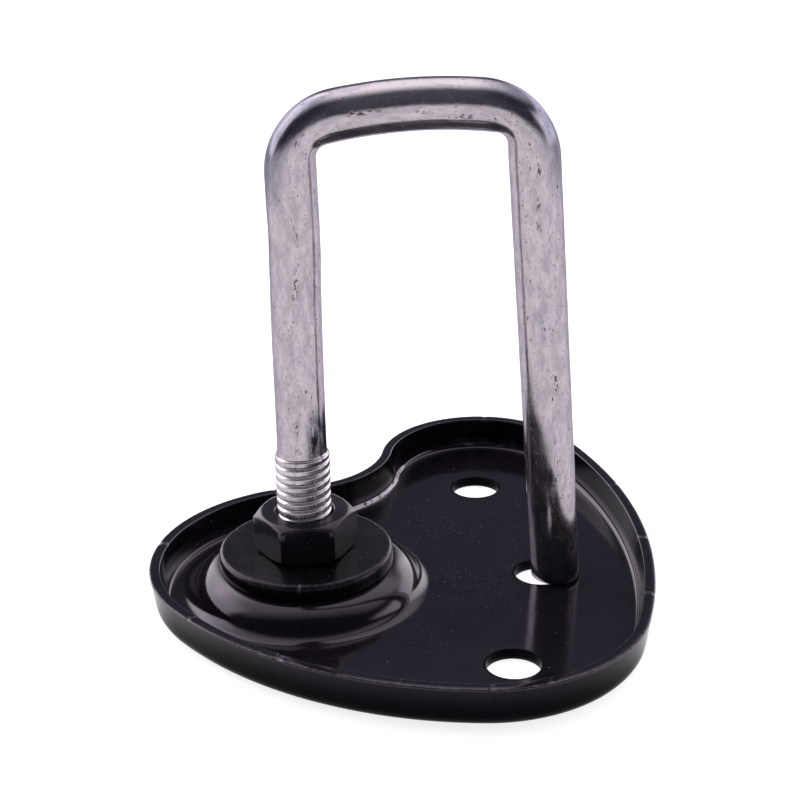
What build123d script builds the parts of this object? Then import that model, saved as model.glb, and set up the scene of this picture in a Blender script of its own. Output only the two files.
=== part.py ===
from build123d import *
from math import atan2, cos, degrees, hypot, radians, tan
import os

# Swivelling pad eye: a pressed sheet-steel pan whose raised boss carries one threaded leg of a
# square bail. Millimetres, +Z up. The pan's underside is z = 0 and the pan's bounding box is
# centred on the origin. Shapes are drawn about the boss axis and moved to that origin at the end.
# +X runs from the threaded leg towards the free leg.

# Pan
sheet = 1.9                     # sheet thickness
rim_height = 6.0                # rim above the pan's floor
pan_corner_inner = 1.25         # inner radius between floor and rim
rim_flare = 1.1                 # how far the rim leans out over its whole height
rim_edge_round = 0.35           # broken edge along the top of the rim

# Plan outline: three round lobes joined by tangent arcs, given as (x, y), radius
boss_lobe = ((2.2, -1.8), 29.8)
back_lobe = ((34.0, 39.7), 19.5)
front_lobe = ((29.9, -19.1), 28.1)
front_side_radius = 68.0        # bowed side from the boss lobe to the front lobe
right_side_radius = 105.6       # bowed side from the front lobe to the back lobe
notch_radius = 17.8             # hollow between the back lobe and the boss lobe

# Holes in the pan's floor
floor_hole_radius = 4.6
back_hole = (33.1, 37.0)
front_hole = (33.9, -30.0)
leg_hole = (41.8, 0.9)          # takes the free leg's foot when the bail is lowered into it

# Boss pressed up out of the floor
boss_rise = 4.5
boss_foot_radius = 22.3         # where the floor starts to curve up
boss_foot_fillet = 3.0          # hollow curve at the foot, on the upper face
boss_shoulder_round = 6.5       # round curve at the top, on the upper face
boss_bore_radius = 4.85

# 3/8-16 thread, drawn as a plain cylinder at its major diameter
thread_radius = 4.76
thread_top = 27.9               # above the pan's underside
thread_runout = 0.6
stud_bottom = 0.35              # end of the threaded leg, inside the boss
thread_chamfer = 0.6

# Bail rod
rod_radius = 4.33
bend_radius = 9.6               # centre line of both top bends
left_leg_top = 77.0             # where the threaded leg's bend starts
crossbar_radius = 85.0          # the crossbar is slightly arched
crossbar_rise = 10.5            # degrees, at the threaded leg's end
crossbar_fall = 5.2             # degrees, at the free leg's end
leg_splay = 3.5                 # degrees, the free leg leans outward going down
foot_gap = 0.1                  # free leg's foot above the floor, so that the bail can swing
foot_chamfer = 0.12

# Fasteners
washer_radius = 15.4
washer_thickness = 2.9
washer_bore_radius = 5.15
washer_edge_round = 0.85
nut_across_flats = 15.875
nut_height = 7.2
nut_corner_azimuth = 3.8        # degrees, turn of the nut as tightened
nut_chamfer_angle = 30.0
nut_bore_radius = 4.8
nut_countersink = 0.55
lower_nut_across_flats = 14.3
lower_nut_height = 3.35

floor_top = sheet
rim_top = floor_top + rim_height
boss_top = floor_top + boss_rise
boss_ceiling = boss_top - sheet
washer_top = boss_top + washer_thickness


def arc_centre(circle_a, circle_b, reach_a, reach_b):
    """Centre at reach_a from circle_a's centre and reach_b from circle_b's, left of a to b."""
    (ax, ay), (bx, by) = circle_a[0], circle_b[0]
    gap = hypot(bx - ax, by - ay)
    ux, uy = (bx - ax) / gap, (by - ay) / gap
    along = (reach_a ** 2 - reach_b ** 2 + gap ** 2) / (2 * gap)
    across = (reach_a ** 2 - along ** 2) ** 0.5
    return (ax + along * ux - across * uy, ay + along * uy + across * ux)


def joining_arcs():
    """The three arcs between the lobes: centre, radius and which way they curve."""
    def side(start, end, radius):
        return arc_centre(start, end, radius - start[1], radius - end[1]), radius, 1
    # The notch's centre lies outside the pan, so the lobes are taken in the other order.
    notch = arc_centre(boss_lobe, back_lobe, notch_radius + boss_lobe[1], notch_radius + back_lobe[1])
    return [
        side(boss_lobe, front_lobe, front_side_radius),
        side(front_lobe, back_lobe, right_side_radius),
        (notch, notch_radius, -1),
    ]


def turn(start, end):
    """Anticlockwise turn in degrees from one bearing to another."""
    return (end - start) % 360


def bearing(centre, point):
    return degrees(atan2(point[1] - centre[1], point[0] - centre[0]))


def touch_bearing(centre, join):
    """Where a joining arc touches a lobe: away from a bowed side's centre, towards the notch's."""
    join_centre, _, sense = join
    return bearing(centre, join_centre) + (180 if sense > 0 else 0)


def pan_face(inset):
    """The pan's plan outline moved inward by inset. All its arcs keep their centres."""
    lobes = [boss_lobe, front_lobe, back_lobe]
    joins = joining_arcs()
    edges = []
    for index, (centre, radius) in enumerate(lobes):
        start, end = (touch_bearing(centre, join) for join in (joins[index - 1], joins[index]))
        edges.append(CenterArc(centre, radius - inset, start, turn(start, end)))

        next_centre = lobes[(index + 1) % len(lobes)][0]
        join_centre, join_radius, sense = joins[index]
        start, end = (bearing(join_centre, point) for point in (centre, next_centre))
        sweep = turn(start, end) if sense > 0 else -turn(end, start)
        edges.append(CenterArc(join_centre, join_radius - sense * inset, start, sweep))
    return make_face(edges)


def flared_block(inset, base_level, corner):
    """Block from base_level to the rim's top, inside the pan's flared outer wall by inset."""
    height = rim_top - base_level
    flare_angle = degrees(atan2(rim_flare, rim_top))
    block = extrude(pan_face(inset + rim_flare * height / rim_top), amount=height, taper=-flare_angle)
    return Pos(0, 0, base_level) * fillet(block.faces().sort_by(Axis.Z)[0].edges(), corner)


def boss_profile(foot_fillet, shoulder_round, foot_level, top_level):
    """Half section of the boss, filled down to the pan's underside."""
    fillet_centre = Vector(boss_foot_radius, floor_top + boss_foot_fillet)
    drop = fillet_centre.Y - (boss_top - boss_shoulder_round)
    reach = boss_foot_fillet + boss_shoulder_round
    round_centre = Vector(boss_foot_radius - (reach ** 2 - drop ** 2) ** 0.5,
                          boss_top - boss_shoulder_round)
    along = (round_centre - fillet_centre).normalized()
    meeting = fillet_centre + along * foot_fillet
    foot = Vector(boss_foot_radius, foot_level)
    crown = Vector(round_centre.X, top_level)
    fillet_mid = fillet_centre + ((along + Vector(0, -1)).normalized()) * foot_fillet
    round_mid = round_centre + ((Vector(0, 1) - along).normalized()) * shoulder_round
    with BuildSketch(Plane.XZ) as section:
        with BuildLine():
            Polyline((0, top_level), (0, 0), (boss_foot_radius, 0))
            if foot_level > 0:
                Line((boss_foot_radius, 0), (boss_foot_radius, foot_level))
            ThreePointArc(foot, fillet_mid, meeting)
            ThreePointArc(meeting, round_mid, crown)
            Line(crown, (0, top_level))
        make_face()
    return section.sketch


def base_plate():
    """Pan pressed from sheet, with its rim, raised boss, boss bore and three floor holes."""
    pan = flared_block(0, 0, pan_corner_inner + sheet) - flared_block(sheet, floor_top, pan_corner_inner)
    pan = fillet(pan.faces().sort_by(Axis.Z)[-1].edges(), rim_edge_round)

    boss = revolve(boss_profile(boss_foot_fillet, boss_shoulder_round, floor_top, boss_top), Axis.Z)
    hollow = revolve(
        boss_profile(boss_foot_fillet + sheet, boss_shoulder_round - sheet, 0, boss_ceiling), Axis.Z)
    pan = pan + boss - hollow

    hole_height = 3 * boss_top
    pan -= Cylinder(boss_bore_radius, hole_height)
    for centre in (back_hole, front_hole, leg_hole):
        pan -= Pos(*centre, 0) * Cylinder(floor_hole_radius, hole_height)
    return pan


def bail():
    """Round rod bent square, its threaded leg on the boss axis and its free leg over the floor."""
    with BuildPart() as rod:
        with BuildLine(Plane.XZ) as path:
            leg = Line((0, stud_bottom + thread_chamfer), (0, left_leg_top))
            left = JernArc(leg @ 1, leg % 1, bend_radius, crossbar_rise - 90)
            bar = JernArc(left @ 1, left % 1, crossbar_radius, -crossbar_rise - crossbar_fall)
            right = JernArc(bar @ 1, bar % 1, bend_radius, crossbar_fall + leg_splay - 90)
            drop = (right @ 1).Z - floor_top + rod_radius
            Line(right @ 1, right @ 1 + Vector(drop * tan(radians(leg_splay)), 0, -drop))
        with BuildSketch(Plane(origin=path.line @ 0, z_dir=(0, 0, 1))):
            Circle(rod_radius)
        sweep(transition=Transition.RIGHT)

    # The free leg is sawn off level with the floor.
    foot_level = floor_top + foot_gap
    end = path.line @ 1
    solid = rod.part - Pos(end.X, 0, foot_level - 2 * rod_radius) * Box(
        4 * rod_radius, 4 * rod_radius, 4 * rod_radius)
    foot_face = solid.faces().sort_by_distance((end.X, 0, foot_level))[0]
    solid = chamfer(foot_face.edges(), foot_chamfer)

    with BuildPart() as stud:
        with BuildSketch(Plane.XZ):
            with BuildLine():
                Polyline(
                    (0, stud_bottom),
                    (thread_radius - thread_chamfer, stud_bottom),
                    (thread_radius, stud_bottom + thread_chamfer),
                    (thread_radius, thread_top - thread_runout),
                    (rod_radius, thread_top),
                    (0, thread_top),
                    close=True,
                )
            make_face()
        revolve(axis=Axis.Z)
    return solid + stud.part


def flat_washer():
    """Thick plain washer that spreads the nut's load over the boss."""
    disc = Cylinder(washer_radius, washer_thickness, align=(Align.CENTER, Align.CENTER, Align.MIN))
    disc = fillet(disc.edges().filter_by(GeomType.CIRCLE).sort_by(Axis.Z)[-1], washer_edge_round)
    disc -= Cylinder(washer_bore_radius, 3 * washer_thickness)
    return Pos(0, 0, boss_top) * disc


def hexagon_nut(across_flats, height, base_level, azimuth, chamfer_angle):
    """Hexagon nut with chamfered corners and countersunk bore, both ends alike."""
    corner_radius = across_flats / 2 / cos(radians(30))
    chamfer_radius = across_flats / 2
    chamfer_depth = (corner_radius - chamfer_radius) * tan(radians(chamfer_angle))
    hexagon = extrude(Rot(0, 0, azimuth) * RegularPolygon(corner_radius, 6), amount=height)
    with BuildPart() as turned:
        with BuildSketch(Plane.XZ):
            with BuildLine():
                Polyline(
                    (nut_bore_radius + nut_countersink, 0),
                    (chamfer_radius, 0),
                    (corner_radius, chamfer_depth),
                    (corner_radius, height - chamfer_depth),
                    (chamfer_radius, height),
                    (nut_bore_radius + nut_countersink, height),
                    (nut_bore_radius, height - nut_countersink),
                    (nut_bore_radius, nut_countersink),
                    close=True,
                )
            make_face()
        revolve(axis=Axis.Z)
    return Pos(0, 0, base_level) * (hexagon & turned.part)


def hex_nut():
    """Upper nut that clamps the washer and the boss."""
    return hexagon_nut(nut_across_flats, nut_height, washer_top, nut_corner_azimuth, nut_chamfer_angle)


def lower_nut():
    """Thin nut on the end of the threaded leg, under the boss and above the pan's underside."""
    return hexagon_nut(lower_nut_across_flats, lower_nut_height, boss_ceiling - lower_nut_height, 0,
                       nut_chamfer_angle)


box = pan_face(0).bounding_box()
to_origin = Pos(-box.center().X, -box.center().Y, 0)
parts = {
    "base_plate": base_plate(),
    "bail": bail(),
    "flat_washer": flat_washer(),
    "hex_nut": hex_nut(),
    "lower_nut": lower_nut(),
}
os.makedirs("parts", exist_ok=True)
for name, solid in parts.items():
    placed = to_origin * solid
    placed.label = name
    export_step(placed, f"parts/{name}.step")
    size = placed.bounding_box()
    print(name, "solids", len(placed.solids()), "from", size.min, "to", size.max)

print("boss axis at", -box.center().X, -box.center().Y)
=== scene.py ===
"""Looks of the swivelling pad eye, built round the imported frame. Metres, +Z up.

Shapes are drawn about the boss axis, where the bail's threaded leg stands, and moved to it.
"""

from math import atan, atan2, ceil, cos, exp, hypot, pi, radians, sin, sqrt, tan, tau

import bmesh
import bpy
from mathutils import Matrix, Vector, noise
from mathutils.geometry import delaunay_2d_cdt


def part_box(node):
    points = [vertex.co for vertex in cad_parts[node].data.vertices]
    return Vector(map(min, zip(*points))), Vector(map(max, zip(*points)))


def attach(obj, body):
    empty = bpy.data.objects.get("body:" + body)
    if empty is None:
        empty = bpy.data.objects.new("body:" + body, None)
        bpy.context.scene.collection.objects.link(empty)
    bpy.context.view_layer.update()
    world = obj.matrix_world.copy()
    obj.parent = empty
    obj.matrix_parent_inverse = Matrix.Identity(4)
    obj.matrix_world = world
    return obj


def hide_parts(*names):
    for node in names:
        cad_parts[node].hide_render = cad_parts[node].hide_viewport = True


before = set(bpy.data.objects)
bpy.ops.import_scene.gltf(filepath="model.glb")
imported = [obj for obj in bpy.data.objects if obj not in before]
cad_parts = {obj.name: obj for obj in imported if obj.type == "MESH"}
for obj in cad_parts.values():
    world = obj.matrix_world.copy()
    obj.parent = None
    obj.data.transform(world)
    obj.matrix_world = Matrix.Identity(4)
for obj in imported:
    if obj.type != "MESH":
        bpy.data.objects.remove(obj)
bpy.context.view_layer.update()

mm = 0.001

# ---------------------------------------------------------------- places taken from the frame
washer_low, washer_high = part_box("flat_washer")
nut_low, nut_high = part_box("hex_nut")
lower_nut_low, lower_nut_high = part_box("lower_nut")
axis = Vector(((washer_low.x + washer_high.x) / 2, (washer_low.y + washer_high.y) / 2, 0))
rim_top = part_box("base_plate")[1].z
leg_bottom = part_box("bail")[0].z
boss_top = washer_low.z
boss_ceiling = lower_nut_high.z
washer_radius = (washer_high.x - washer_low.x) / 2

# ---------------------------------------------------------------- the pan's driving sizes
sheet = boss_top - boss_ceiling
floor_top = sheet
corner_inner = 1.25 * mm
rim_flare = 1.1 * mm
rim_edge_round = 0.22 * mm
boss_lobe = ((2.2 * mm, -1.8 * mm), 29.8 * mm)
back_lobe = ((34.0 * mm, 39.7 * mm), 19.5 * mm)
front_lobe = ((29.9 * mm, -19.1 * mm), 28.1 * mm)
front_side_radius = 68.0 * mm
right_side_radius = 105.6 * mm
notch_radius = 17.8 * mm
floor_hole_radius = 4.6 * mm
floor_holes = ((33.1 * mm, 37.0 * mm), (33.9 * mm, -30.0 * mm), (41.8 * mm, 0.9 * mm))
floor_hole_rollover = 0.07 * mm
floor_hole_burr = 0.07 * mm
boss_foot_radius = 22.3 * mm
boss_foot_fillet = 3.0 * mm
boss_shoulder_round = 6.5 * mm
boss_bore_radius = 4.85 * mm
boss_bore_round = 0.3 * mm

# ---------------------------------------------------------------- the bail's driving sizes
rod_radius = 4.33 * mm
bend_radius = 9.6 * mm
inner_corner_radius = 2.2 * mm      # the rod is pinched sharp on the inside of each bend
pinch_sharpness = 1.4
leg_top = 77.0 * mm
leg_bow = 0.22 * mm                 # the threaded leg bulges a little towards the other one
leg_bow_level = 66 * mm
leg_bow_reach = 9 * mm
crossbar_radius = 85.0 * mm
crossbar_rise = radians(10.5)
crossbar_fall = radians(5.2)
leg_splay = radians(3.5)
foot_level = floor_top + 0.1 * mm
foot_chamfer = 0.12 * mm
rod_dent = 0.035 * mm
rod_dent_size = 5 * mm
rod_undersize = 0.03 * mm
smooth_above_thread = 2 * mm
thread_radius = 4.76 * mm
thread_depth = 0.38 * mm
thread_pitch = 25.4 * mm / 16
thread_top = 27.9 * mm
thread_runout = 0.6 * mm
thread_chamfer = 0.8 * mm
groove_half_width = 0.24            # of the pitch: wide crests, narrow grooves
crossbar_middle = 102 * mm          # along the rod from the leg's foot

# ---------------------------------------------------------------- the fasteners' driving sizes
washer_bore_radius = 5.15 * mm
washer_bore_round = 0.25 * mm
washer_rollover = 0.85 * mm
washer_lower_break = 0.12 * mm
nut_across_flats = 15.875 * mm
nut_azimuth = radians(3.8)
lower_nut_across_flats = 14.3 * mm
nut_bore_radius = 4.8 * mm
nut_countersink = 0.55 * mm
nut_corner_round = 0.45 * mm
nut_edge_break = 0.12 * mm
nut_chamfer = radians(30)
nut_face_share = 0.955              # the flat face's radius over the distance to the flats

# ---------------------------------------------------------------- unevenness and wear
# Marks that the shears and handling left on the rim: bearing from the boss axis in degrees,
# width along the rim, depth
rim_marks = (
    (-131.0, 0.5 * mm, 0.16 * mm), (-102.0, 0.35 * mm, 0.10 * mm), (-96.5, 0.7 * mm, 0.22 * mm),
    (-72.0, 0.4 * mm, 0.10 * mm), (-58.5, 0.5 * mm, 0.15 * mm), (-50.0, 0.4 * mm, 0.12 * mm),
    (-18.0, 0.5 * mm, 0.15 * mm), (1.5, 0.6 * mm, 0.18 * mm), (22.0, 0.5 * mm, 0.14 * mm),
    (58.0, 0.5 * mm, 0.12 * mm), (104.0, 0.5 * mm, 0.12 * mm), (168.0, 0.7 * mm, 0.20 * mm),
)
# Nicks in the washer's upper edge: bearing in degrees, width, depth
washer_nicks = (
    (-94, 0.5 * mm, 0.20 * mm), (-62, 0.3 * mm, 0.1 * mm), (31, 0.4 * mm, 0.12 * mm),
    (150, 0.4 * mm, 0.12 * mm),
)
rim_wander = 0.008 * mm
sheet_wander = 0.018 * mm
washer_wander = 0.02 * mm
notch_scuff = Vector((14.0 * mm, 37.0 * mm, 0))     # pale rubbed coating on the fold inside the notch
notch_scuff_reach = 14.0 * mm

# ---------------------------------------------------------------- mesh fineness
weld_distance = 0.0004 * mm
outline_step = 0.36 * mm
boss_segments = 180
hole_segments = 72
washer_segments = 200
rod_segments = 96
thread_rows = 16
bend_step = 0.45 * mm
straight_step = 1.0 * mm
floor_grid = 1.9 * mm
flat_margin = 0.45 * mm             # a narrow flat ring where a curved edge meets the floor


# ---------------------------------------------------------------- mesh helpers
def arc_points(centre_a, centre_b, radius, start, end, steps):
    """Points (a, b) on an arc about (centre_a, centre_b), both ends included."""
    points = []
    for step in range(steps + 1):
        angle = start + (end - start) * step / steps
        points.append((centre_a + radius * cos(angle), centre_b + radius * sin(angle)))
    return points


def circle(radius, level, count, centre=(0, 0)):
    """Points (x, y, z) evenly round a level circle."""
    return [(x, y, level) for x, y in arc_points(*centre, radius, 0, tau, count)[:-1]]


def corner_reach(distance, half_angle, radius, angle):
    """How far out a rounded corner lies, at an angle from its middle line.

    The corner's two straight sides lie at the given distance from the origin.
    """
    centre = (distance - radius) / cos(half_angle)
    tangent = half_angle - atan2(centre * sin(half_angle), distance)
    if abs(angle) >= tangent:
        return distance / cos(half_angle - abs(angle))
    return centre * cos(angle) + sqrt(radius ** 2 - (centre * sin(angle)) ** 2)


def nick_depth(along, width, depth):
    """Depth of a smooth nick at a distance along the edge from its middle."""
    return depth * exp(-2 * (along / width) ** 2)


class Piece:
    """A mesh under construction, with three numbers on each point that its material reads.

    On the pan, washer and nuts the numbers are edge wear, damage and painted shade, and on the bail
    they are the point's place on the rod as if it were straight.
    """

    def __init__(self, value_name):
        self.bm = bmesh.new()
        self.layer = self.bm.verts.layers.float_vector.new(value_name)

    def point(self, position, value=(0, 0, 0)):
        vert = self.bm.verts.new(position)
        vert[self.layer] = value
        return vert

    def ring(self, positions, value=(0, 0, 0)):
        return [self.point(position, value) for position in positions]

    def bridge(self, first, second):
        """Faces between two closed rings with the same number of points."""
        for k in range(len(first)):
            after = (k + 1) % len(first)
            self.bm.faces.new((first[k], first[after], second[after], second[k]))

    def bridge_all(self, rings):
        for first, second in zip(rings, rings[1:]):
            self.bridge(first, second)

    def cap(self, ring, value=(0, 0, 0)):
        """Closes a ring with a fan about its middle."""
        centre = self.point(sum((vert.co for vert in ring), Vector()) / len(ring), value)
        for k, vert in enumerate(ring):
            self.bm.faces.new((vert, ring[(k + 1) % len(ring)], centre))

    def finish(self, name, shift=Vector()):
        """Welds and smooths the mesh, and makes the object."""
        bmesh.ops.remove_doubles(self.bm, verts=self.bm.verts, dist=weld_distance)
        bmesh.ops.dissolve_degenerate(self.bm, edges=self.bm.edges, dist=weld_distance)
        bmesh.ops.translate(self.bm, verts=self.bm.verts, vec=shift)
        bmesh.ops.recalc_face_normals(self.bm, faces=self.bm.faces)
        mesh = bpy.data.meshes.new(name)
        self.bm.to_mesh(mesh)
        self.bm.free()
        mesh.shade_smooth()
        made = bpy.data.objects.new(name, mesh)
        bpy.context.scene.collection.objects.link(made)
        made.modifiers.new("weighted_normals", "WEIGHTED_NORMAL").keep_sharp = True
        return made


# ---------------------------------------------------------------- pan
def arc_centre(circle_a, circle_b, reach_a, reach_b):
    """Centre at reach_a from circle_a's centre and reach_b from circle_b's, left of a to b."""
    (ax, ay), (bx, by) = circle_a[0], circle_b[0]
    gap = hypot(bx - ax, by - ay)
    ux, uy = (bx - ax) / gap, (by - ay) / gap
    along = (reach_a ** 2 - reach_b ** 2 + gap ** 2) / (2 * gap)
    across = sqrt(reach_a ** 2 - along ** 2)
    return (ax + along * ux - across * uy, ay + along * uy + across * ux)


def bowed_side(start, end, radius):
    """The arc round the outside of two lobes: centre, radius, and 1 because it bulges outward."""
    centre = arc_centre(start, end, radius - start[1], radius - end[1])
    return centre, radius, 1


def pan_outline():
    """Anticlockwise outline points with their outward normals, evenly spaced along its arcs."""
    lobes = [boss_lobe, front_lobe, back_lobe]
    notch = arc_centre(boss_lobe, back_lobe, notch_radius + boss_lobe[1], notch_radius + back_lobe[1])
    joins = [
        bowed_side(boss_lobe, front_lobe, front_side_radius),
        bowed_side(front_lobe, back_lobe, right_side_radius),
        (notch, notch_radius, -1),
    ]
    arcs = []
    for k, (centre, radius) in enumerate(lobes):
        before, after = joins[k - 1], joins[k]
        following = lobes[(k + 1) % len(lobes)][0]
        start, end = (
            atan2(join[0][1] - centre[1], join[0][0] - centre[0]) + (pi if join[2] > 0 else 0)
            for join in (before, after)
        )
        arcs.append((centre, radius, start, (end - start) % tau, 1))
        start, end = (
            atan2(other[1] - after[0][1], other[0] - after[0][0]) for other in (centre, following)
        )
        sweep = (end - start) % tau if after[2] > 0 else -((start - end) % tau)
        arcs.append((after[0], after[1], start, sweep, after[2]))

    samples = []
    for centre, radius, start, sweep, sense in arcs:
        steps = ceil(radius * abs(sweep) / outline_step)
        for k in range(steps):
            angle = start + sweep * k / steps
            across = Vector((cos(angle), sin(angle), 0))
            samples.append((Vector((*centre, 0)) + across * radius, across * sense))
    return samples


def outer_inset(level):
    """How far the flared wall's outer face lies inside the outline."""
    return rim_flare * (1 - level / rim_top)


def inner_inset(level):
    return outer_inset(level) + sheet


def rim_profile():
    """The wall's section as (inset, level, edge wear), from the underside over the rim to the floor."""
    lean = atan(rim_flare / rim_top)
    corner_outer = corner_inner + sheet
    round_centre = rim_top - rim_edge_round
    rows = [(*point, 0) for point in arc_points(
        outer_inset(corner_outer) + corner_outer / cos(lean), corner_outer, corner_outer,
        -pi / 2, -pi + lean, 9)]
    wall_low = rows[-1][1]
    for part in (0.25, 0.5, 0.75, 0.95):
        level = wall_low + (round_centre - wall_low) * part
        rows.append((outer_inset(level), level, 0))
    outer_edge = arc_points(outer_inset(round_centre) + rim_edge_round / cos(lean), round_centre,
                            rim_edge_round, pi + lean, pi / 2, 5)
    rows += [(*point, edge) for point, edge in zip(outer_edge, (0, 0.2, 0.6, 1, 1, 0.8))]
    rows.append(((outer_inset(rim_top) + inner_inset(rim_top)) / 2, rim_top, 0.4))
    rows += [(*point, 0.6) for point in arc_points(
        inner_inset(round_centre) - rim_edge_round / cos(lean), round_centre, rim_edge_round,
        pi / 2, lean, 5)]
    fillet_level = floor_top + corner_inner
    fillet_rows = [(*point, 0) for point in arc_points(
        inner_inset(fillet_level) + corner_inner / cos(lean), fillet_level, corner_inner,
        pi + lean, 1.5 * pi, 7)]
    for part in (0.05, 0.25, 0.5, 0.75):
        level = round_centre + (fillet_rows[0][1] - round_centre) * part
        rows.append((inner_inset(level), level, 0))
    return rows + fillet_rows + [(fillet_rows[-1][0] + flat_margin, floor_top, 0)]


def boss_profile(foot_fillet, shoulder_round):
    """Half section (radius, level) of one face of the boss, from its foot to its crown.

    Both faces of the sheet share their arcs' centres.
    """
    foot_centre = Vector((boss_foot_radius, floor_top + boss_foot_fillet))
    crown_centre_level = boss_top - boss_shoulder_round
    drop = foot_centre.y - crown_centre_level
    reach = boss_foot_fillet + boss_shoulder_round
    crown_centre = Vector((foot_centre.x - sqrt(reach ** 2 - drop ** 2), crown_centre_level))
    slope = atan2(foot_centre.y - crown_centre.y, foot_centre.x - crown_centre.x)
    rows = arc_points(foot_centre.x, foot_centre.y, foot_fillet, 1.5 * pi, pi + slope, 12)
    return rows + arc_points(crown_centre.x, crown_centre.y, shoulder_round, slope, pi / 2, 14)


def inside_ring(ring, x, y, clear):
    """True where (x, y) is inside the ring and at least clear away from all its points."""
    inside = False
    for k, vert in enumerate(ring):
        ax, ay = vert.co.x, vert.co.y
        bx, by = ring[k - 1].co.x, ring[k - 1].co.y
        if hypot(x - ax, y - ay) < clear:
            return False
        if (ay > y) != (by > y) and x < (bx - ax) * (y - ay) / (by - ay) + ax:
            inside = not inside
    return inside


def fill_flat(piece, outer, holes):
    """Triangles between an outer ring and round holes, with an even grid of points between them.

    Each hole is (ring, centre, radius).
    """
    points, edges, verts = [], [], []
    for ring in [outer] + [hole[0] for hole in holes]:
        first = len(points)
        points += [Vector((vert.co.x / mm, vert.co.y / mm)) for vert in ring]
        edges += [(first + k, first + (k + 1) % len(ring)) for k in range(len(ring))]
        verts += ring

    def in_a_hole(x, y, clear):
        return any(hypot(x - centre[0], y - centre[1]) < radius + clear for _, centre, radius in holes)

    level = outer[0].co.z
    xs = [vert.co.x for vert in outer]
    ys = [vert.co.y for vert in outer]
    clear = floor_grid * 0.6
    row_height = floor_grid * sqrt(3) / 2
    for row in range(int((max(ys) - min(ys)) / row_height) + 1):
        y = min(ys) + row * row_height
        for column in range(int((max(xs) - min(xs)) / floor_grid) + 1):
            x = min(xs) + (column + 0.5 * (row % 2)) * floor_grid
            if inside_ring(outer, x, y, clear) and not in_a_hole(x, y, clear):
                points.append(Vector((x / mm, y / mm)))
                verts.append(piece.point((x, y, level)))

    outer_face = list(range(len(outer)))
    coordinates, _, faces, sources, _, _ = delaunay_2d_cdt(points, edges, [outer_face], 1, 1e-5)
    for face in faces:
        middle = sum((coordinates[k] for k in face), Vector((0, 0))) * (mm / 3)
        if not in_a_hole(middle.x, middle.y, 0):
            piece.bm.faces.new([verts[sources[k][0]] for k in face])


def rim_damage(point):
    """Depth of the marks at a place on the outline."""
    depth = 0.0
    for bearing, width, deepest in rim_marks:
        direction = Vector((cos(radians(bearing)), sin(radians(bearing)), 0))
        if point.dot(direction) > 0:
            depth += nick_depth(point.cross(direction).length, width, deepest)
    return depth


def painted_wall_shade(level, is_outer):
    """Painted shade on the walls below the rim's rounded edge, 0 to 1: darker towards the bottom of the
    outer wall, and a fixed amount on the inner wall above the fillet.
    """
    if level >= rim_top - 1.5 * rim_edge_round:
        return 0
    if is_outer:
        return 1 - 0.5 * level / rim_top
    return 0.6 if level > floor_top + corner_inner else 0


def add_wall(piece):
    """The pan's corner, wall and fillet as rings, from the underside's to the floor's."""
    samples = pan_outline()
    damage = [rim_damage(point) for point, normal in samples]
    profile = rim_profile()
    levels = [level for inset, level, edge in profile]
    crest = levels.index(max(levels))
    scuffed_rows = range(len(profile) - 7, len(profile) - 4)
    rings = []
    for row, (inset, level, edge) in enumerate(profile):
        # Painted shade for this row of the wall goes into each point's third value.
        painted_shade = painted_wall_shade(level, row < crest)
        # The rim's inner and outer edges are both eaten towards the middle of the sheet.
        eaten_inward = 0.6 if inset < sheet / 2 else -0.6
        ring = []
        for (point, normal), hurt in zip(samples, damage):
            ragged = noise.noise(point / (1.7 * mm)) + 0.6 * noise.noise(point / (0.6 * mm))
            bite = edge * (hurt + rim_wander * abs(ragged))
            sway = sheet_wander * (1 + noise.noise(Vector((point.x, point.y, level)) / (9 * mm)))
            value = (edge, hurt / mm if edge else 0, painted_shade)
            if row in scuffed_rows:
                away = (point - notch_scuff).length / notch_scuff_reach
                value = (0, max(0.0, 1 - away ** 4), 0)
            moved = point - normal * (inset + bite * eaten_inward + sway)
            ring.append(piece.point(moved + Vector((0, 0, level - bite * 0.7)), value))
        rings.append(ring)
    piece.bridge_all(rings)
    return rings


def add_floor_hole(piece, centre):
    """A punched hole as rings, from the floor's to the underside's, and the outer rings' radius."""
    edge_radius = floor_hole_radius + floor_hole_rollover
    margin = edge_radius + flat_margin
    rows = [(margin, floor_top)]
    rows += arc_points(edge_radius, floor_top - floor_hole_rollover, floor_hole_rollover, pi / 2, pi, 4)
    rows += [(floor_hole_radius, sheet * 0.4), (floor_hole_radius + floor_hole_burr, 0), (margin, 0)]
    # Painted shade: the hole's wall rings get full painted shade, so they render black.
    rings = [piece.ring(circle(radius, level, hole_segments, centre), (0, 0, 1 if radius < margin else 0))
             for radius, level in rows]
    piece.bridge_all(rings)
    return rings, margin


def add_boss(piece):
    """The boss and its bore as rings, from the floor's to the underside's, and their outer radius."""
    margin = boss_foot_radius + flat_margin
    crown_middle = washer_radius * 0.7
    rows = [(margin, floor_top)]
    rows += boss_profile(boss_foot_fillet, boss_shoulder_round)
    rows.append((crown_middle, boss_top))
    rows += arc_points(boss_bore_radius + boss_bore_round, boss_top - boss_bore_round, boss_bore_round,
                       pi / 2, pi, 3)
    rows += [(boss_bore_radius, boss_ceiling), (crown_middle, boss_ceiling)]
    rows += boss_profile(boss_foot_fillet + sheet, boss_shoulder_round - sheet)[::-1]
    rows.append((margin, 0))
    rings = [piece.ring(circle(radius, level, boss_segments)) for radius, level in rows]
    piece.bridge_all(rings)
    return rings, margin


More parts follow.
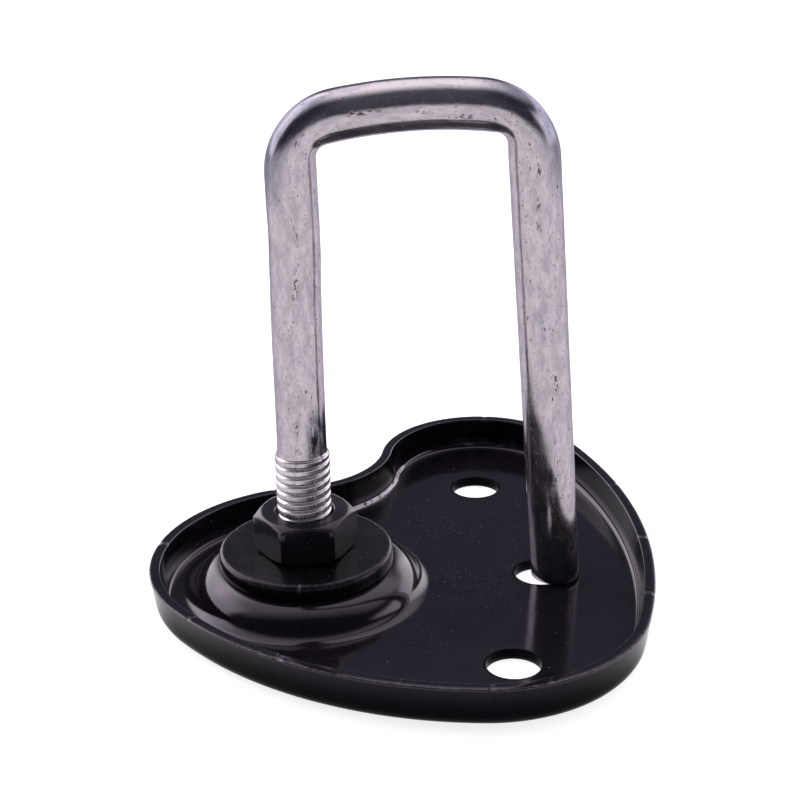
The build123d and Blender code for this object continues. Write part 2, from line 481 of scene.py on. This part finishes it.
def make_pan():
    piece = Piece("wear")
    wall = add_wall(piece)
    openings = [(*add_floor_hole(piece, centre), centre) for centre in floor_holes]
    openings.append((*add_boss(piece), (0, 0)))
    fill_flat(piece, wall[-1], [(rings[0], centre, margin) for rings, margin, centre in openings])
    fill_flat(piece, wall[0], [(rings[-1], centre, margin) for rings, margin, centre in openings])

    for vert in piece.bm.verts:
        if vert.co.z > sheet * 0.6:
            wave = noise.noise(Vector((vert.co.x, vert.co.y, 0)) / (13 * mm))
            vert.co.z -= sheet_wander * (1 + wave)
    return piece.finish("pan", axis)


# ---------------------------------------------------------------- bail
def bail_path():
    """Stations up from the thread and round to the other leg's foot.

    Each is the place, heading, length so far, and how far the inside corner is pinched out.
    """
    stations = []
    spot, heading, length = Vector((0, 0, thread_top)), pi / 2, 0.0

    def add(pinch=0.0):
        stations.append((spot.copy(), heading, length, pinch))

    def straight(run, step):
        nonlocal spot, length
        count = max(1, round(run / step))
        for _ in range(count):
            spot = spot + Vector((cos(heading), 0, sin(heading))) * (run / count)
            length += run / count
            add()

    def bend(radius, turn, step, pinched):
        nonlocal spot, heading, length
        count = max(1, round(radius * turn / step))
        centre = spot + Vector((sin(heading), 0, -cos(heading))) * radius
        first = heading
        inner = radius - rod_radius
        for k in range(1, count + 1):
            heading = first - turn * k / count
            spot = centre - Vector((sin(heading), 0, -cos(heading))) * radius
            length += radius * turn / count
            off_middle = turn * (k / count - 0.5)
            reach = corner_reach(inner, turn / 2, inner_corner_radius, off_middle) if pinched else inner
            add(reach - inner)

    add()
    straight(leg_top - thread_top, straight_step)
    bend(bend_radius, pi / 2 - crossbar_rise, bend_step, True)
    bend(crossbar_radius, crossbar_rise + crossbar_fall, straight_step, False)
    bend(bend_radius, pi / 2 - crossbar_fall - leg_splay, bend_step, True)
    drop = (spot.z - foot_level) / cos(leg_splay)
    straight(drop - foot_chamfer, straight_step)
    straight(foot_chamfer, foot_chamfer)
    return stations


def rod_value(angle, radius, length):
    """Coordinates of the rod as if it were straight, for the grain of its plating."""
    return (radius * cos(angle), radius * sin(angle), length)


def add_rod(piece):
    """The plain rod, from the top of the thread to the free leg's foot."""
    rings = []
    stations = bail_path()
    for index, (spot, heading, length, pinch) in enumerate(stations):
        inward = Vector((sin(heading), 0, -cos(heading)))
        forward = Vector((cos(heading), 0, sin(heading)))
        stations_left = len(stations) - 1 - index
        on_threaded_leg = spot.x < rod_radius
        radius = rod_radius if stations_left else rod_radius - foot_chamfer
        bow = leg_bow * exp(-((spot.z - leg_bow_level) / leg_bow_reach) ** 2) if on_threaded_leg else 0.0
        ring = []
        for k in range(rod_segments):
            angle = tau * k / rod_segments
            side = Vector((0, 1, 0)) * sin(angle) + inward * cos(angle)
            value = rod_value(angle, rod_radius, length + thread_top)
            dent = rod_dent * noise.noise(Vector(value) / rod_dent_size) - rod_undersize
            if on_threaded_leg and spot.z < thread_top + smooth_above_thread:
                dent *= (spot.z - thread_top) / smooth_above_thread
            squash = pinch * max(0.0, cos(angle)) ** pinch_sharpness
            point = spot + side * (radius + dent) - inward * squash + Vector((bow, 0, 0))
            if stations_left < 2:
                # The foot is sawn off level with the floor.
                point += forward * ((foot_level + stations_left * foot_chamfer - point.z) / forward.z)
            ring.append(piece.point(point, value))
        rings.append(ring)
    piece.bridge_all(rings)
    piece.cap(rings[-1], rod_value(0, 0, stations[-1][2] + thread_top))


def groove_depth(part):
    """Depth of the thread's groove, 0 to 1, at a part of the pitch."""
    off_groove = abs(part - 0.5)
    if off_groove >= groove_half_width:
        return 0.0
    return 0.5 + 0.5 * cos(pi * off_groove / groove_half_width)


def add_thread(piece):
    """Rows that climb with the helix, held to the leg's end and to the top of the thread."""
    end_radius = thread_radius - thread_chamfer
    turns = ceil((thread_top - leg_bottom) / thread_pitch) + 1
    rows = []
    for row in range(-thread_rows, turns * thread_rows + 1):
        cut = thread_depth * groove_depth((row % thread_rows) / thread_rows)
        line = []
        for k in range(rod_segments + 1):
            angle = tau * k / rod_segments
            level = leg_bottom + thread_pitch * (row / thread_rows + k / rod_segments)
            level = min(max(level, leg_bottom), thread_top)
            radius = thread_radius - cut
            to_top = (thread_top - level) / thread_runout
            if to_top < 1:
                fade = to_top * to_top * (3 - 2 * to_top)
                radius = rod_radius + (radius - rod_radius) * fade
            radius = min(radius, end_radius + (level - leg_bottom))
            line.append(piece.point((radius * cos(angle), radius * sin(angle), level),
                                    rod_value(angle, radius, level)))
        rows.append(line)
    for lower, upper in zip(rows, rows[1:]):
        for k in range(rod_segments):
            piece.bm.faces.new((lower[k], lower[k + 1], upper[k + 1], upper[k]))
    piece.cap(piece.ring(circle(end_radius, leg_bottom, rod_segments)))


def make_bail():
    piece = Piece("rod")
    add_rod(piece)
    add_thread(piece)
    return piece.finish("bail_rod", axis)


# ---------------------------------------------------------------- washer and nuts
def make_washer():
    piece = Piece("wear")
    low, high = washer_low.z, washer_high.z
    rows = [(washer_bore_radius, low, 0), (washer_radius - washer_lower_break, low, 0),
            (washer_radius, low + washer_lower_break, 0.2)]
    rows += [(washer_radius, low + (high - low) * part, 0) for part in (0.3, 0.55)]
    rows += [(*point, 1) for point in arc_points(
        washer_radius - washer_rollover, high - washer_rollover, washer_rollover, 0, pi / 2, 8)]
    rows += [(washer_radius * part, high, 0) for part in (0.9, 0.8, 0.65, 0.5)]
    rows += [(*point, 0) for point in arc_points(
        washer_bore_radius + washer_bore_round, high - washer_bore_round, washer_bore_round,
        pi / 2, pi, 3)]
    rings = []
    for radius, level, edge in rows:
        ring = []
        for k in range(washer_segments):
            angle = tau * k / washer_segments
            bite = 0.0
            for bearing, width, depth in washer_nicks:
                along = washer_radius * abs((angle - radians(bearing) + pi) % tau - pi)
                bite += edge * nick_depth(along, width, depth)
            wander = 0.0
            if radius > washer_radius * 0.97:
                lump = noise.noise(Vector((cos(angle), sin(angle), level / (4 * mm))) * 3)
                wander = washer_wander * (1 + lump)
            reach = radius - bite - wander
            ring.append(piece.point((reach * cos(angle), reach * sin(angle), level - bite * 0.6),
                                    (edge, bite / mm, 0)))
        rings.append(ring)
    piece.bridge_all(rings + rings[:1])
    return piece.finish("washer", axis)


def side_angles():
    """Angles across one side of a hexagon, from its middle, closer together near the corners."""
    half = [0, 5, 10, 15, 19, 22.5, 25, 26.6, 27.6, 28.3, 28.9, 29.4, 29.7]
    return [-radians(angle) for angle in half[:0:-1]] + [radians(angle) for angle in half] + [radians(30)]


def nut_section(flat, low, high, angle):
    """Rows (radius, level, edge wear) at an angle from a side's middle, from bore to bore."""
    face_radius = flat * nut_face_share
    reach = corner_reach(flat, radians(30), nut_corner_round, radians(30) - abs(angle))
    fall = (reach - face_radius) * tan(nut_chamfer)
    break_fall = nut_edge_break * tan(nut_chamfer)
    # Rows from the bore to the side, with their depths inside either face
    half_rows = [
        (nut_bore_radius, nut_countersink, 0.3),
        (nut_bore_radius + nut_countersink, 0, 0.6),
        (nut_bore_radius + nut_countersink + nut_edge_break, 0, 0.2),
        ((nut_bore_radius + face_radius) / 2 + 0.4 * mm, 0, 0),
        (face_radius - nut_edge_break, 0, 0.5),
        (face_radius + nut_edge_break, break_fall, 1),
        (face_radius + (reach - face_radius) * 0.5, fall * 0.5, 0.5),
        (reach - nut_edge_break, fall - break_fall, 0.7),
        (reach, fall + nut_edge_break, 0.7),
    ]
    corner_wear = 0.4 if abs(angle) > radians(28) else 0
    rows = [(radius, low + depth, edge) for radius, depth, edge in half_rows]
    rows += [(reach, low + (high - low) * part, corner_wear) for part in (0.35, 0.5, 0.65)]
    return rows + [(radius, high - depth, edge) for radius, depth, edge in half_rows[::-1]]


def make_nut(name, across_flats, low, high, azimuth):
    piece = Piece("wear")
    columns = []
    for side in range(6):
        for angle in side_angles():
            turned = azimuth + radians(60) * side + radians(30) + angle
            columns.append([
                piece.point((radius * cos(turned), radius * sin(turned), level), (edge, 0, 0))
                for radius, level, edge in nut_section(across_flats / 2, low, high, angle)
            ])
    for first, second in zip(columns, columns[1:] + columns[:1]):
        for k in range(len(first)):
            after = (k + 1) % len(first)
            piece.bm.faces.new((first[k], second[k], second[after], first[after]))
    return piece.finish(name, axis)


# ---------------------------------------------------------------- node helpers
def add_node(tree, kind, **settings):
    node = tree.nodes.new(kind)
    for key, value in settings.items():
        setattr(node, key, value)
    return node


def feed(tree, socket, value):
    """Links a socket to another, or sets its plain value."""
    if isinstance(value, bpy.types.NodeSocket):
        tree.links.new(value, socket)
    else:
        socket.default_value = value


def calc(tree, operation, *values):
    node = add_node(tree, "ShaderNodeMath", operation=operation)
    for socket, value in zip(node.inputs, values):
        feed(tree, socket, value)
    return node.outputs[0]


def times(tree, first, second):
    return calc(tree, "MULTIPLY", first, second)


def larger(tree, first, second):
    return calc(tree, "MAXIMUM", first, second)


def smooth_step(tree, value, low, high, start=0.0, end=1.0):
    """Goes from start to end as value goes from low to high."""
    node = add_node(tree, "ShaderNodeMapRange", interpolation_type="SMOOTHSTEP")
    for socket, given in zip(node.inputs, (value, low, high, start, end)):
        feed(tree, socket, given)
    return node.outputs[0]


def mix_colour(tree, factor, first, second):
    node = add_node(tree, "ShaderNodeMix", data_type="RGBA")
    colour_inputs = [socket for socket in node.inputs if socket.type == "RGBA"]
    feed(tree, node.inputs[0], factor)
    feed(tree, colour_inputs[0], first)
    feed(tree, colour_inputs[1], second)
    return next(socket for socket in node.outputs if socket.type == "RGBA")


def separate(tree, vector):
    """The three parts of a vector."""
    node = add_node(tree, "ShaderNodeSeparateXYZ")
    feed(tree, node.inputs[0], vector)
    return node.outputs


def stretched(tree, vector, size, turn=(0, 0, 0)):
    """Coordinates turned, then divided by a feature size along each axis."""
    spin = add_node(tree, "ShaderNodeMapping")
    feed(tree, spin.inputs["Vector"], vector)
    feed(tree, spin.inputs["Rotation"], turn)
    scale = add_node(tree, "ShaderNodeMapping")
    feed(tree, scale.inputs["Vector"], spin.outputs[0])
    feed(tree, scale.inputs["Scale"], tuple(1 / part for part in size))
    return scale.outputs[0]


def noise_field(tree, vector, size, detail=2.0, roughness=0.5):
    """Noise from 0 to 1 whose lumps are about the given size, one number or one per axis."""
    size = size if isinstance(size, tuple) else (size, size, size)
    node = add_node(tree, "ShaderNodeTexNoise")
    feed(tree, node.inputs["Vector"], stretched(tree, vector, size))
    feed(tree, node.inputs["Scale"], 1.0)
    feed(tree, node.inputs["Detail"], detail)
    feed(tree, node.inputs["Roughness"], roughness)
    return node.outputs["Fac"]


def specks(tree, vector, spacing, radius, kept):
    """Round specks: one in each cell of the given spacing, of which a part is kept."""
    node = add_node(tree, "ShaderNodeTexVoronoi")
    feed(tree, node.inputs["Vector"], stretched(tree, vector, (spacing,) * 3))
    feed(tree, node.inputs["Scale"], 1.0)
    chance = add_node(tree, "ShaderNodeSeparateColor")
    feed(tree, chance.inputs[0], node.outputs["Color"])
    size = times(tree, chance.outputs[1], radius / spacing)
    near = calc(tree, "LESS_THAN", node.outputs["Distance"], size)
    return times(tree, near, calc(tree, "LESS_THAN", chance.outputs[0], kept))


def hairlines(tree, vector, turn, length, width, kept):
    """Short fine parallel scratches at one turn about Z."""
    node = add_node(tree, "ShaderNodeTexNoise")
    feed(tree, node.inputs["Vector"], stretched(tree, vector, (length, width, 20 * mm), (0, 0, turn)))
    feed(tree, node.inputs["Scale"], 1.0)
    feed(tree, node.inputs["Detail"], 1.0)
    return smooth_step(tree, node.outputs["Fac"], 1 - kept, 1 - kept + 0.03)


def bumped(tree, height, distance, before=None):
    node = add_node(tree, "ShaderNodeBump")
    feed(tree, node.inputs["Height"], height)
    feed(tree, node.inputs["Distance"], distance)
    feed(tree, node.inputs["Strength"], 1.0)
    if before is not None:
        feed(tree, node.inputs["Normal"], before)
    return node.outputs[0]


def new_material(name):
    made = bpy.data.materials.new(name)
    made.use_nodes = True
    return made, made.node_tree, made.node_tree.nodes["Principled BSDF"]


def object_coordinates(tree):
    return add_node(tree, "ShaderNodeTexCoord").outputs["Object"]


def mesh_values(tree, name):
    """The three numbers that a Piece wrote on its points."""
    return add_node(tree, "ShaderNodeAttribute", attribute_name=name).outputs["Vector"]


# ---------------------------------------------------------------- materials
def black_coating(name, colour, gloss, speck_share, dusty, reflectance, edge_wear):
    """Black coating on steel: dust, hairline scratches, edges rubbed lighter, and painted shade where the
    mesh marks it.
    """
    made, tree, shader = new_material(name)
    where = object_coordinates(tree)
    edge, damage, painted_shade = separate(tree, mesh_values(tree, "wear"))

    # Dust and scratches gather in patches and thin out away from the middle of the pan.
    clustered = smooth_step(tree, noise_field(tree, where, 15 * mm), 0.40, 0.58)
    far_out = add_node(tree, "ShaderNodeVectorMath", operation="LENGTH")
    feed(tree, far_out.inputs[0], where)
    clustered = times(tree, clustered, smooth_step(
        tree, far_out.outputs["Value"], 18 * mm, 46 * mm, 1.0, 0.15))
    dust = specks(tree, where, 1.25 * mm, 0.11 * mm, speck_share)
    fine = times(tree, specks(tree, where, 0.42 * mm, 0.075 * mm, speck_share * 2.2), clustered)
    scratch = larger(tree,
                     hairlines(tree, where, 0.5, 3.2 * mm, 0.09 * mm, 0.245),
                     hairlines(tree, where, 1.9, 2.4 * mm, 0.08 * mm, 0.235))
    scratch = larger(tree, scratch, hairlines(tree, where, -0.25, 4 * mm, 0.09 * mm, 0.24))
    scratch = times(tree, scratch, clustered)
    marks = larger(tree, larger(tree, dust, fine), times(tree, scratch, 0.3))

    rubbed = times(tree, smooth_step(tree, edge, 0.55, 0.95), smooth_step(
        tree, noise_field(tree, where, 0.9 * mm, 4.0, 0.65), 0.42, 0.62))
    chipped = times(tree, smooth_step(tree, damage, 0.05, 0.16), smooth_step(tree, edge, 0.3, 0.7))
    worn = larger(tree, times(tree, rubbed, edge_wear), times(tree, chipped, 0.6))
    scuffed = times(tree, smooth_step(tree, damage, 0.3, 0.6), smooth_step(
        tree, noise_field(tree, where, 1.1 * mm, 4.0, 0.7), 0.36, 0.50))

    colour = mix_colour(tree, times(tree, marks, dusty), colour, (0.36, 0.32, 0.38, 1))
    colour = mix_colour(tree, times(tree, worn, 0.45), colour, (0.30, 0.27, 0.32, 1))
    colour = mix_colour(tree, scuffed, colour, (0.60, 0.55, 0.62, 1))
    # Painted shade: black is mixed into the colour where the mesh marks painted shade on the walls and in
    # the holes.
    colour = mix_colour(tree, times(tree, painted_shade, 0.8), colour, (0, 0, 0, 1))
    feed(tree, shader.inputs["Base Color"], colour)

    haze = noise_field(tree, where, 6 * mm, 3.0)
    dull = smooth_step(tree, haze, 0.3, 0.7, gloss * 0.85, gloss * 1.25)
    dull = calc(tree, "ADD", dull, times(tree, larger(tree, marks, worn), 0.25))
    feed(tree, shader.inputs["Roughness"], dull)
    feed(tree, shader.inputs["IOR"], 1.5)
    # Painted shade: the same marks dim the coating's reflection almost to nothing.
    feed(tree, shader.inputs["Specular IOR Level"], smooth_step(
        tree, painted_shade, 0.0, 0.8, reflectance, reflectance * 0.05))
    feed(tree, shader.inputs["Specular Tint"], (0.94, 0.84, 1.0, 1))

    peel = noise_field(tree, where, 0.9 * mm)
    normal = bumped(tree, peel, 0.004 * mm)
    normal = bumped(tree, scratch, 0.006 * mm, normal)
    normal = bumped(tree, larger(tree, dust, chipped), 0.015 * mm, normal)
    feed(tree, shader.inputs["Normal"], normal)
    return made


def zinc_pits(tree, where, inward, sideways):
    """Dark pits in strings along the rod, a few strays, and a broken drawing seam."""
    strings = smooth_step(tree, noise_field(tree, where, (1.0 * mm, 1.0 * mm, 14 * mm)), 0.52, 0.62)
    pits = smooth_step(tree, noise_field(tree, where, (0.30 * mm, 0.30 * mm, 0.7 * mm)), 0.635, 0.70)
    pits = times(tree, pits, strings)
    stray = smooth_step(tree, noise_field(tree, where, (0.4 * mm, 0.4 * mm, 0.8 * mm), 1.0), 0.72, 0.76)
    pits = larger(tree, pits, stray)

    # The seam is a pitted line down the rod's front that wanders, seen here and there.
    drift = noise_field(tree, where, (60 * mm, 60 * mm, 32 * mm), 1.0)
    middle = smooth_step(tree, drift, 0.35, 0.65, -2.2 * mm, 1.2 * mm)
    off_seam = calc(tree, "ABSOLUTE", calc(tree, "SUBTRACT", inward, middle))
    seam = times(tree, smooth_step(tree, off_seam, 0.20 * mm, 0.55 * mm, 1, 0),
                 calc(tree, "LESS_THAN", sideways, 0.0))
    seen = smooth_step(tree, noise_field(tree, where, (60 * mm, 60 * mm, 7 * mm), 1.0), 0.50, 0.58)
    broken = smooth_step(
        tree, noise_field(tree, where, (0.35 * mm, 0.35 * mm, 0.7 * mm), 3.0, 0.6), 0.50, 0.58)
    return larger(tree, pits, times(tree, times(tree, seam, seen), broken))


def zinc_plating():
    """Bright zinc on a drawn rod: mottled and pitted, with painted shade at the bends and a painted
    highlight on top of the crossbar, bright on the thread.
    """
    made, tree, shader = new_material("zinc_plated_rod")
    where = mesh_values(tree, "rod")
    inward, sideways, along = separate(tree, where)
    off_middle = calc(tree, "ABSOLUTE", calc(tree, "SUBTRACT", along, crossbar_middle))

    mottle = noise_field(tree, where, (1.3 * mm, 1.3 * mm, 3.6 * mm), 5.0, 0.68)
    grain = noise_field(tree, where, (0.45 * mm, 0.45 * mm, 0.9 * mm), 4.0, 0.7)
    pits = zinc_pits(tree, where, inward, sideways)
    stain = smooth_step(
        tree, noise_field(tree, where, (2.6 * mm, 2.6 * mm, 8 * mm), 4.0, 0.7), 0.56, 0.70)

    # Grime that the nut left on the inner side, just above the thread
    off_grime = calc(tree, "ABSOLUTE", calc(tree, "SUBTRACT", along, thread_top + 4 * mm))
    grime = times(tree, smooth_step(tree, off_grime, 1.5 * mm, 5.5 * mm, 1, 0),
                  smooth_step(tree, inward, 0.6 * mm, 2.2 * mm))
    grime = times(tree, grime, smooth_step(tree, mottle, 0.60, 0.46))

    # Painted shade: the outer side of each bend is coloured a dark bluish grey to dim its reflection, and
    # a painted dark reflection line runs on from it along the outer edge.
    painted_bend_shade = times(tree, smooth_step(tree, off_middle, 9 * mm, 14 * mm),
                    smooth_step(tree, off_middle, 22 * mm, 33 * mm, 1, 0))
    painted_bend_shade = times(tree, painted_bend_shade, smooth_step(tree, inward, -0.4 * mm, -3.0 * mm))
    painted_dark_edge_line = times(tree, smooth_step(tree, off_middle, 40 * mm, 50 * mm, 1, 0),
                       smooth_step(tree, inward, -3.9 * mm, -4.15 * mm))
    painted_bend_shade = times(tree, larger(tree, painted_bend_shade, painted_dark_edge_line),
                    smooth_step(tree, mottle, 0.30, 0.62, 0.95, 0.65))

    # Painted highlight: the top of the crossbar is coloured brighter, standing in for a wider highlight
    # there.
    painted_crossbar_highlight = times(tree, smooth_step(tree, off_middle, 8 * mm, 16 * mm, 1, 0),
                    smooth_step(tree, inward, -0.5 * mm, -2.5 * mm))
    # The rolled thread is the brightest and cleanest part.
    on_thread = smooth_step(tree, along, thread_top - 1.2 * mm, thread_top - 2.2 * mm)

    colour = mix_colour(tree, smooth_step(tree, mottle, 0.32, 0.68),
                        (0.295, 0.272, 0.298, 1), (0.425, 0.390, 0.418, 1))
    for share, over in (
        (smooth_step(tree, grain, 0.50, 0.70, 0, 0.55), (0.20, 0.185, 0.215, 1)),
        # painted shade on the outer side of the bends
        (painted_bend_shade, (0.10, 0.105, 0.14, 1)),
        # painted highlight on top of the crossbar
        (painted_crossbar_highlight, (0.50, 0.47, 0.49, 1)),
        (times(tree, stain, 0.36), (0.20, 0.20, 0.25, 1)),
        (times(tree, grime, 0.9), (0.06, 0.06, 0.09, 1)),
        (times(tree, pits, 0.85), (0.04, 0.035, 0.05, 1)),
        (times(tree, on_thread, 0.85), (0.50, 0.475, 0.50, 1)),
    ):
        colour = mix_colour(tree, share, colour, over)
    feed(tree, shader.inputs["Base Color"], colour)
    feed(tree, shader.inputs["Metallic"], 0.94)
    feed(tree, shader.inputs["Specular Tint"], (0.50, 0.48, 0.55, 1))

    dull = smooth_step(tree, mottle, 0.3, 0.7, 0.12, 0.21)
    dull = calc(tree, "ADD", dull, times(tree, on_thread, 0.08))
    feed(tree, shader.inputs["Roughness"], calc(tree, "ADD", dull, times(tree, pits, 0.3)))

    normal = bumped(tree, mottle, 0.018 * mm)
    normal = bumped(tree, grain, 0.006 * mm, normal)
    normal = bumped(tree, calc(tree, "SUBTRACT", 1.0, pits), 0.012 * mm, normal)
    feed(tree, shader.inputs["Normal"], normal)
    return made


def pale_floor():
    made, tree, shader = new_material("pale_floor")
    mottle = noise_field(tree, object_coordinates(tree), 400 * mm)
    feed(tree, shader.inputs["Base Color"], mix_colour(
        tree, mottle, (0.50, 0.495, 0.50, 1), (0.52, 0.515, 0.52, 1)))
    feed(tree, shader.inputs["Roughness"], 0.9)
    feed(tree, shader.inputs["Specular IOR Level"], 0.0)
    feed(tree, shader.inputs["Emission Color"], (1, 0.985, 1, 1))
    feed(tree, shader.inputs["Emission Strength"], 0.83)
    return made


# ---------------------------------------------------------------- pieces
def settle(shape, material, body, node):
    """Gives a shape its material, parents it to its body's empty, and hides the CAD node that it stands
    in for.
    """
    shape.data.materials.append(material)
    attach(shape, body)
    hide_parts(node)


def make_pieces():
    pan_black = black_coating(
        "gloss_black", (0.0058, 0.0045, 0.0072, 1),
        gloss=0.11, speck_share=0.28, dusty=0.46, reflectance=0.40, edge_wear=0.42)
    washer_black = black_coating(
        "satin_black_washer", (0.003, 0.0027, 0.0035, 1),
        gloss=0.22, speck_share=0.22, dusty=0.3, reflectance=0.22, edge_wear=0.12)
    nut_black = black_coating(
        "satin_black_nut", (0.0055, 0.0047, 0.0066, 1),
        gloss=0.22, speck_share=0.16, dusty=0.3, reflectance=0.36, edge_wear=0.14)
    settle(make_pan(), pan_black, "pan", "base_plate")
    settle(make_bail(), zinc_plating(), "bail", "bail")
    settle(make_washer(), washer_black, "washer", "flat_washer")
    upper = make_nut("upper_nut", nut_across_flats, nut_low.z, nut_high.z, nut_azimuth)
    settle(upper, nut_black, "nut", "hex_nut")
    lower = make_nut("thin_lower_nut", lower_nut_across_flats, lower_nut_low.z, lower_nut_high.z, 0)
    settle(lower, nut_black, "bail", "lower_nut")


# ---------------------------------------------------------------- studio
def make_floor():
    radius, level = 12.0, -0.05 * mm
    piece = Piece("wear")
    piece.cap(piece.ring(circle(radius, level, 64)))
    floor = piece.finish("studio_floor")
    if floor.data.polygons[0].normal.z < 0:
        floor.data.flip_normals()
    floor.data.materials.append(pale_floor())


def panel(tree, first, first_span, second, second_span, radiance):
    """A soft-edged patch of light: each span is (start, full from, full to, end) of a coordinate."""
    glow = radiance
    for value, (start, full_from, full_to, end) in ((first, first_span), (second, second_span)):
        glow = times(tree, glow, smooth_step(tree, value, start, full_from))
        glow = times(tree, glow, smooth_step(tree, value, full_to, end, 1.0, 0.0))
    return glow


def make_world():
    """Soft studio light: a wide panel above and behind, one on each side, and a bright horizon."""
    world = bpy.data.worlds.new("studio")
    bpy.context.scene.world = world
    world.use_nodes = True
    tree = world.node_tree
    to_right, to_back, up = separate(tree, add_node(tree, "ShaderNodeTexCoord").outputs["Generated"])
    in_degrees = 180 / pi
    azimuth = times(tree, calc(tree, "ARCTAN2", to_right, to_back), in_degrees)
    elevation = times(tree, calc(tree, "ARCSINE", up), in_degrees)
    pitch = times(tree, calc(tree, "ARCTAN2", up, to_back), in_degrees)

    above = panel(tree, pitch, (30, 46, 76, 116), to_right, (-0.85, -0.6, 0.6, 0.85), 1.5)
    left = panel(tree, azimuth, (-96, -82, -26, -13), elevation, (-2, 3, 34, 60), 3.3)
    right = panel(tree, azimuth, (13, 26, 104, 120), elevation, (-2, 3, 22, 33), 3.0)
    glow = calc(tree, "ADD", above, calc(tree, "ADD", left, right))
    horizon_end = smooth_step(tree, to_back, -0.6, 0.0, 11, 13)
    glow = larger(tree, glow, smooth_step(tree, elevation, 3, horizon_end, 1.0, 0.0))
    fill_light = smooth_step(tree, to_back, -0.3, 0.5, 0.09, 0.18)
    background = tree.nodes["Background"]
    feed(tree, background.inputs["Color"], mix_colour(
        tree, smooth_step(tree, glow, 0.0, 0.5), (0.74, 0.76, 1.0, 1), (1.0, 0.945, 1.0, 1)))
    feed(tree, background.inputs["Strength"], calc(tree, "ADD", glow, fill_light))


def make_camera():
    """Camera at the viewing angle: a little left of the front, looking down."""
    elevation, azimuth, roll = radians(22.56), radians(1.94), radians(-1.05)
    aim = Vector((0.2, -6.6, 36.9)) * mm
    distance = 290.7 * mm
    look = Vector((sin(azimuth) * cos(elevation), cos(azimuth) * cos(elevation), -sin(elevation)))
    level_right = look.cross(Vector((0, 0, 1))).normalized()
    level_up = level_right.cross(look)
    right = level_right * cos(roll) + level_up * sin(roll)
    up = level_up * cos(roll) - level_right * sin(roll)
    data = bpy.data.cameras.new("camera")
    data.lens, data.sensor_width = 76.5, 36.0
    data.clip_start, data.clip_end = 0.01, 50
    camera = bpy.data.objects.new("camera", data)
    bpy.context.scene.collection.objects.link(camera)
    turned = Matrix((right, up, -look)).transposed().to_4x4()
    camera.matrix_world = Matrix.Translation(aim - look * distance) @ turned
    bpy.context.scene.camera = camera


make_camera()
make_pieces()
make_floor()
make_world()
bpy.context.scene.view_settings.view_transform = "Standard"
